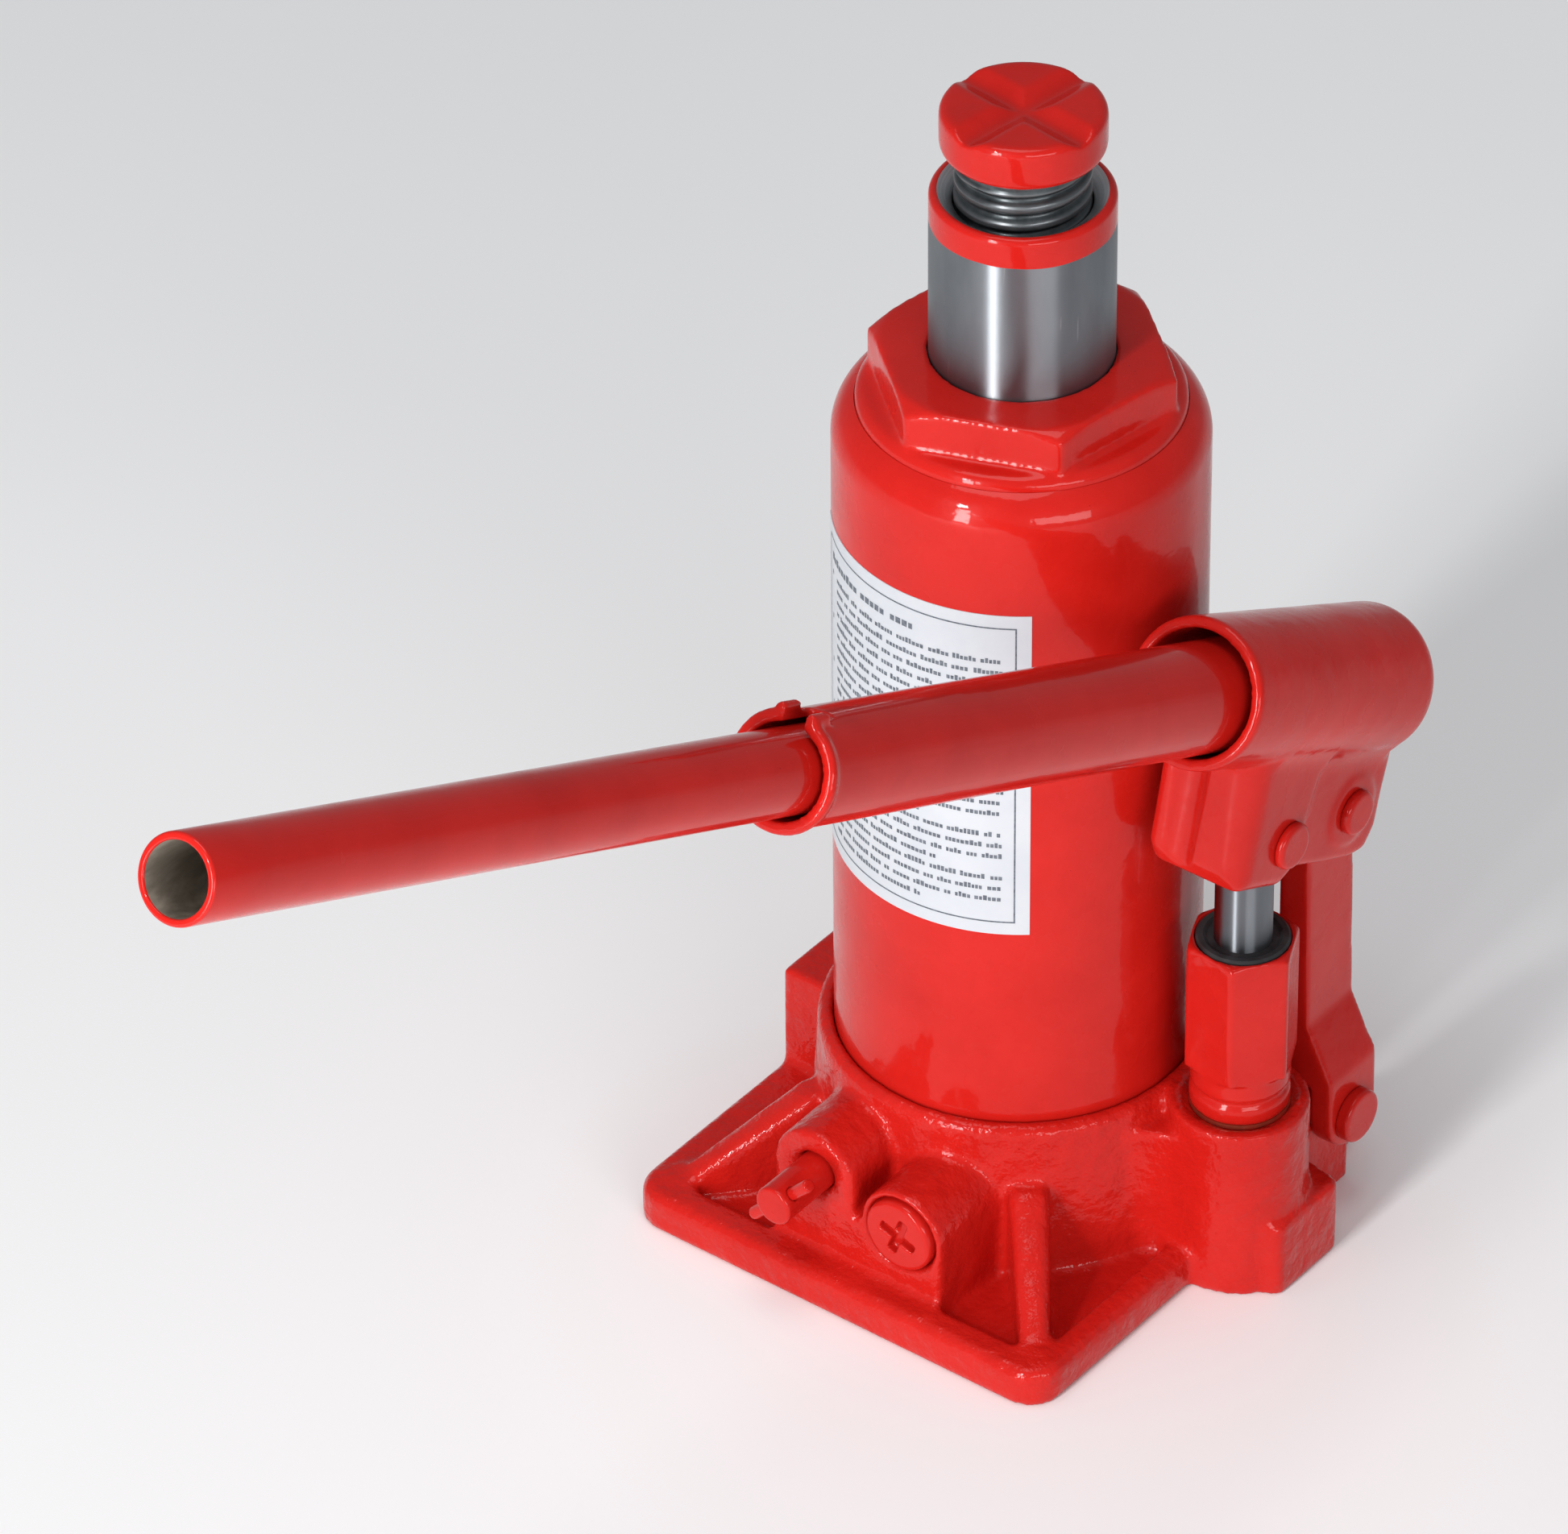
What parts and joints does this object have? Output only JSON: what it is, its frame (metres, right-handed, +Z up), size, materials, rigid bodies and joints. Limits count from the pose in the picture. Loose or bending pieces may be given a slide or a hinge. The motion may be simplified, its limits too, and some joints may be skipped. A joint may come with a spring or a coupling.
{
  "type": "bottle jack",
  "caption": "Hydraulic bottle jack: cast base, oil reservoir, ram with extension screw and grooved saddle, side hand pump with linkage, release valve and tube handle.",
  "frame": {"origin": "underside of the base, on the axis of the ram", "axes": "+Z up along the ram, -Y towards the handle and the release valve, +X towards the pump"},
  "size_m": [0.1258, 0.3818, 0.3074],
  "materials": {
    "red_enamel": "gloss enamel over castings, tubes and fasteners",
    "ground_steel": "ground and polished",
    "dark_steel": "dark oiled steel",
    "bright_steel": "bright bearing and spring steel",
    "black_rubber": "oil-resistant rubber",
    "copper_washer": "soft copper washer",
    "label_film": "satin white film with a thin border and plain bars"
  },
  "bodies": {
    "root": {"base_casting": "red_enamel", "reservoir_tube": "red_enamel", "cylinder_tube": "ground_steel", "top_nut": "red_enamel", "rod_wiper_seal": "black_rubber", "rod_seal": "black_rubber", "reservoir_top_gasket": "black_rubber", "reservoir_bottom_gasket": "black_rubber", "cylinder_gasket": "copper_washer", "instruction_label": "label_film", "pump_cylinder": "red_enamel", "pump_gasket": "copper_washer", "pump_wiper_seal": "black_rubber", "relief_plug": "red_enamel", "relief_spring": "bright_steel", "delivery_spring": "bright_steel"},
    "ram": {"ram_tube": "ground_steel", "ram_piston": "ground_steel", "piston_cup_seal": "black_rubber", "piston_retaining_ring": "ground_steel"},
    "screw_ring": {"screw_stop_ring": "dark_steel"},
    "screw": {"extension_screw": "dark_steel", "saddle": "red_enamel"},
    "plunger": {"pump_plunger": "ground_steel", "plunger_cup_seal": "black_rubber"},
    "socket": {"handle_socket": "red_enamel", "plunger_pin": "red_enamel", "link_upper_pin": "red_enamel"},
    "link": {"link_arm": "red_enamel", "link_lower_pin": "red_enamel", "link_pin_clip": "dark_steel"},
    "handle_lower": {"handle_lower_tube": "red_enamel"},
    "handle_upper": {"handle_upper_tube": "red_enamel"},
    "release_ring": {"release_o_ring": "black_rubber", "release_ball": "bright_steel"},
    "release_valve": {"release_valve_stem": "red_enamel", "release_cross_pin": "red_enamel"},
    "filler": {"filler_plug": "black_rubber"},
    "suction_valve": {"suction_ball": "bright_steel"},
    "delivery_valve": {"delivery_ball": "bright_steel"},
    "relief_valve": {"relief_ball": "bright_steel"}
  },
  "joints": [
    {"name": "ram_lift", "type": "slide", "parent": "root", "child": "ram", "axis": [0, 0, 1], "range_m": [-0.0315, 0.1185]},
    {"name": "screw_lift", "type": "slide", "parent": "ram", "child": "screw_ring", "axis": [0, 0, 1], "range_m": [-0.0096, 0.0745]},
    {"name": "screw_turn", "type": "hinge", "parent": "screw_ring", "child": "screw", "pos_m": [0, 0, 0.2], "axis": [0, 0, 1], "range_deg": [-860, 6700]},
    {"name": "plunger_slide", "type": "slide", "parent": "root", "child": "plunger", "axis": [0, 0, 1], "range_m": [-0.015, 0.009]},
    {"name": "handle_pump", "type": "hinge", "parent": "plunger", "child": "socket", "pos_m": [0.0553, 0.00346, 0.11307], "axis": [-1, 0, 0], "range_deg": [-34, 20]},
    {"name": "link_swing", "type": "hinge", "parent": "root", "child": "link", "pos_m": [0.0553, 0.0304, 0.0252], "axis": [1, 0, 0], "range_deg": [-1.8, 1.2]},
    {"name": "handle_draw", "type": "slide", "parent": "socket", "child": "handle_lower", "axis": [0, -0.907, 0.421], "range_m": [0, 0.05]},
    {"name": "handle_telescope", "type": "slide", "parent": "handle_lower", "child": "handle_upper", "axis": [0, -0.907, 0.421], "range_m": [0, 0.055]},
    {"name": "release_travel", "type": "slide", "parent": "root", "child": "release_ring", "axis": [0, -1, 0], "range_m": [0, 0.003]},
    {"name": "release_turn", "type": "hinge", "parent": "release_ring", "child": "release_valve", "pos_m": [-0.0105, -0.0575, 0.0281], "axis": [0, -1, 0], "range_deg": [0, 540]},
    {"name": "filler_pull", "type": "slide", "parent": "root", "child": "filler", "axis": [0, 1, 0], "range_m": [0, 0.012]},
    {"name": "suction_lift", "type": "slide", "parent": "root", "child": "suction_valve", "axis": [0, 0, 1], "range_m": [0, 0.0015]},
    {"name": "delivery_open", "type": "slide", "parent": "root", "child": "delivery_valve", "axis": [-1, 0, 0], "range_m": [0, 0.0005], "stiffness_N_per_m": 100, "springref_m": -0.001},
    {"name": "relief_open", "type": "slide", "parent": "root", "child": "relief_valve", "axis": [0, -1, 0], "range_m": [0, 0.0005], "stiffness_N_per_m": 200, "springref_m": -0.001}
  ],
  "couplings": [
    {"joint": "screw_lift", "follows": "screw_turn", "m_per_rad": 0.00063662},
    {"joint": "plunger_slide", "follows": "handle_pump", "m_per_rad": 0.02406},
    {"joint": "link_swing", "follows": "handle_pump", "ratio": 0.04527},
    {"joint": "release_travel", "follows": "release_turn", "m_per_rad": 0.00023873}
  ]
}
